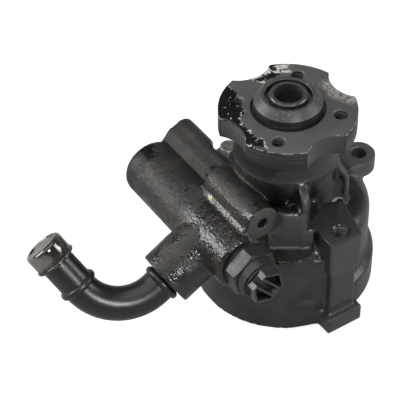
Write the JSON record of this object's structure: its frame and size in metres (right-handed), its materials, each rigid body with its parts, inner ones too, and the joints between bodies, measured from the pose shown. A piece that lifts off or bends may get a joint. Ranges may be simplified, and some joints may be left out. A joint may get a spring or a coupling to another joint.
{
  "type": "power steering pump",
  "caption": "Vane pump for hydraulic steering: cast housing with valve gallery, bent suction pipe, outlet union and a scalloped drive hub on its shaft.",
  "frame": {"origin": "on the shaft axis, in the plane of the rear face", "axes": "+Z along the shaft towards the drive hub, Y along the valve bore, -X towards the suction pipe"},
  "size_m": [0.1913, 0.1184, 0.12],
  "materials": {
    "casting": "rough cast, black paint",
    "hub": "turned steel, thin black finish",
    "shaft_steel": "turned",
    "cover": "satin black",
    "pipe_paint": "satin black",
    "union_black": "black oxide",
    "cap_plastic": "gloss",
    "zinc": "zinc plated",
    "bronze": "plain",
    "copper": "plain",
    "rubber": "matt",
    "sintered": "ground",
    "bright_steel": "ground",
    "spring_steel": "drawn"
  },
  "bodies": {
    "housing": {"pump_housing": "casting", "end_cover": "cover", "suction_pipe": "pipe_paint", "outlet_union": "union_black", "outlet_plug": "cap_plastic", "pipe_cap": "cap_plastic", "flange_bolt": "zinc", "shaft_bush": "bronze", "union_washer": "copper", "shaft_seal": "rubber", "pressure_plate_seal": "rubber", "end_cover_seal": "rubber", "pipe_seal": "rubber", "thrust_plate": "sintered", "pressure_plate": "sintered", "cam_ring": "sintered", "bearing_outer_race": "bright_steel", "dowel_pins": "bright_steel", "passage_plug": "bright_steel", "bearing_circlip": "spring_steel", "end_cover_ring": "spring_steel", "pressure_spring": "spring_steel", "flow_spring": "spring_steel"},
    "shaft": {"drive_shaft": "shaft_steel", "drive_hub": "hub", "bearing_inner_race": "bright_steel", "rotor": "sintered", "rotor_circlip": "spring_steel"},
    "bearing_set": {"bearing_balls": "bright_steel", "bearing_cage": "bronze"},
    "spool": {"flow_spool": "bright_steel", "relief_seat": "bright_steel", "relief_spring": "spring_steel"},
    "relief": {"relief_ball": "bright_steel"},
    "vane_01_body": {"vane_01": "bright_steel"},
    "vane_02_body": {"vane_02": "bright_steel"},
    "vane_03_body": {"vane_03": "bright_steel"},
    "vane_04_body": {"vane_04": "bright_steel"},
    "vane_05_body": {"vane_05": "bright_steel"},
    "vane_06_body": {"vane_06": "bright_steel"},
    "vane_07_body": {"vane_07": "bright_steel"},
    "vane_08_body": {"vane_08": "bright_steel"},
    "vane_09_body": {"vane_09": "bright_steel"},
    "vane_10_body": {"vane_10": "bright_steel"}
  },
  "joints": [
    {"name": "shaft_spin", "type": "hinge", "parent": "housing", "child": "shaft", "pos_m": [0, 0, 0.06], "axis": [0, 0, 1], "continuous": true},
    {"name": "bearing_roll", "type": "hinge", "parent": "housing", "child": "bearing_set", "pos_m": [0, 0, 0.0895], "axis": [0, 0, 1], "continuous": true},
    {"name": "spool_slide", "type": "slide", "parent": "housing", "child": "spool", "axis": [0, 1, 0], "range_m": [0, 0.008], "stiffness_N_per_m": 4000, "springref_m": -0.005, "deforming": ["flow_spring"]},
    {"name": "relief_lift", "type": "slide", "parent": "spool", "child": "relief", "axis": [0, -1, 0], "range_m": [0, 0.0008], "stiffness_N_per_m": 3000, "springref_m": -0.003, "deforming": ["relief_spring"]},
    {"name": "vane_01_slide", "type": "slide", "parent": "shaft", "child": "vane_01_body", "axis": [0.9511, 0.309, 0], "range_m": [0, 0.0009]},
    {"name": "vane_02_slide", "type": "slide", "parent": "shaft", "child": "vane_02_body", "axis": [0.5878, 0.809, 0], "range_m": [0, 0.0009]},
    {"name": "vane_03_slide", "type": "slide", "parent": "shaft", "child": "vane_03_body", "axis": [0, 1, 0], "range_m": [0, 0.0009]},
    {"name": "vane_04_slide", "type": "slide", "parent": "shaft", "child": "vane_04_body", "axis": [-0.5878, 0.809, 0], "range_m": [0, 0.0009]},
    {"name": "vane_05_slide", "type": "slide", "parent": "shaft", "child": "vane_05_body", "axis": [-0.9511, 0.309, 0], "range_m": [0, 0.0009]},
    {"name": "vane_06_slide", "type": "slide", "parent": "shaft", "child": "vane_06_body", "axis": [-0.9511, -0.309, 0], "range_m": [0, 0.0009]},
    {"name": "vane_07_slide", "type": "slide", "parent": "shaft", "child": "vane_07_body", "axis": [-0.5878, -0.809, 0], "range_m": [0, 0.0009]},
    {"name": "vane_08_slide", "type": "slide", "parent": "shaft", "child": "vane_08_body", "axis": [0, -1, 0], "range_m": [0, 0.0009]},
    {"name": "vane_09_slide", "type": "slide", "parent": "shaft", "child": "vane_09_body", "axis": [0.5878, -0.809, 0], "range_m": [0, 0.0009]},
    {"name": "vane_10_slide", "type": "slide", "parent": "shaft", "child": "vane_10_body", "axis": [0.9511, -0.309, 0], "range_m": [0, 0.0009]}
  ],
  "couplings": [
    {"joint": "bearing_roll", "follows": "shaft_spin", "ratio": 0.39677}
  ]
}
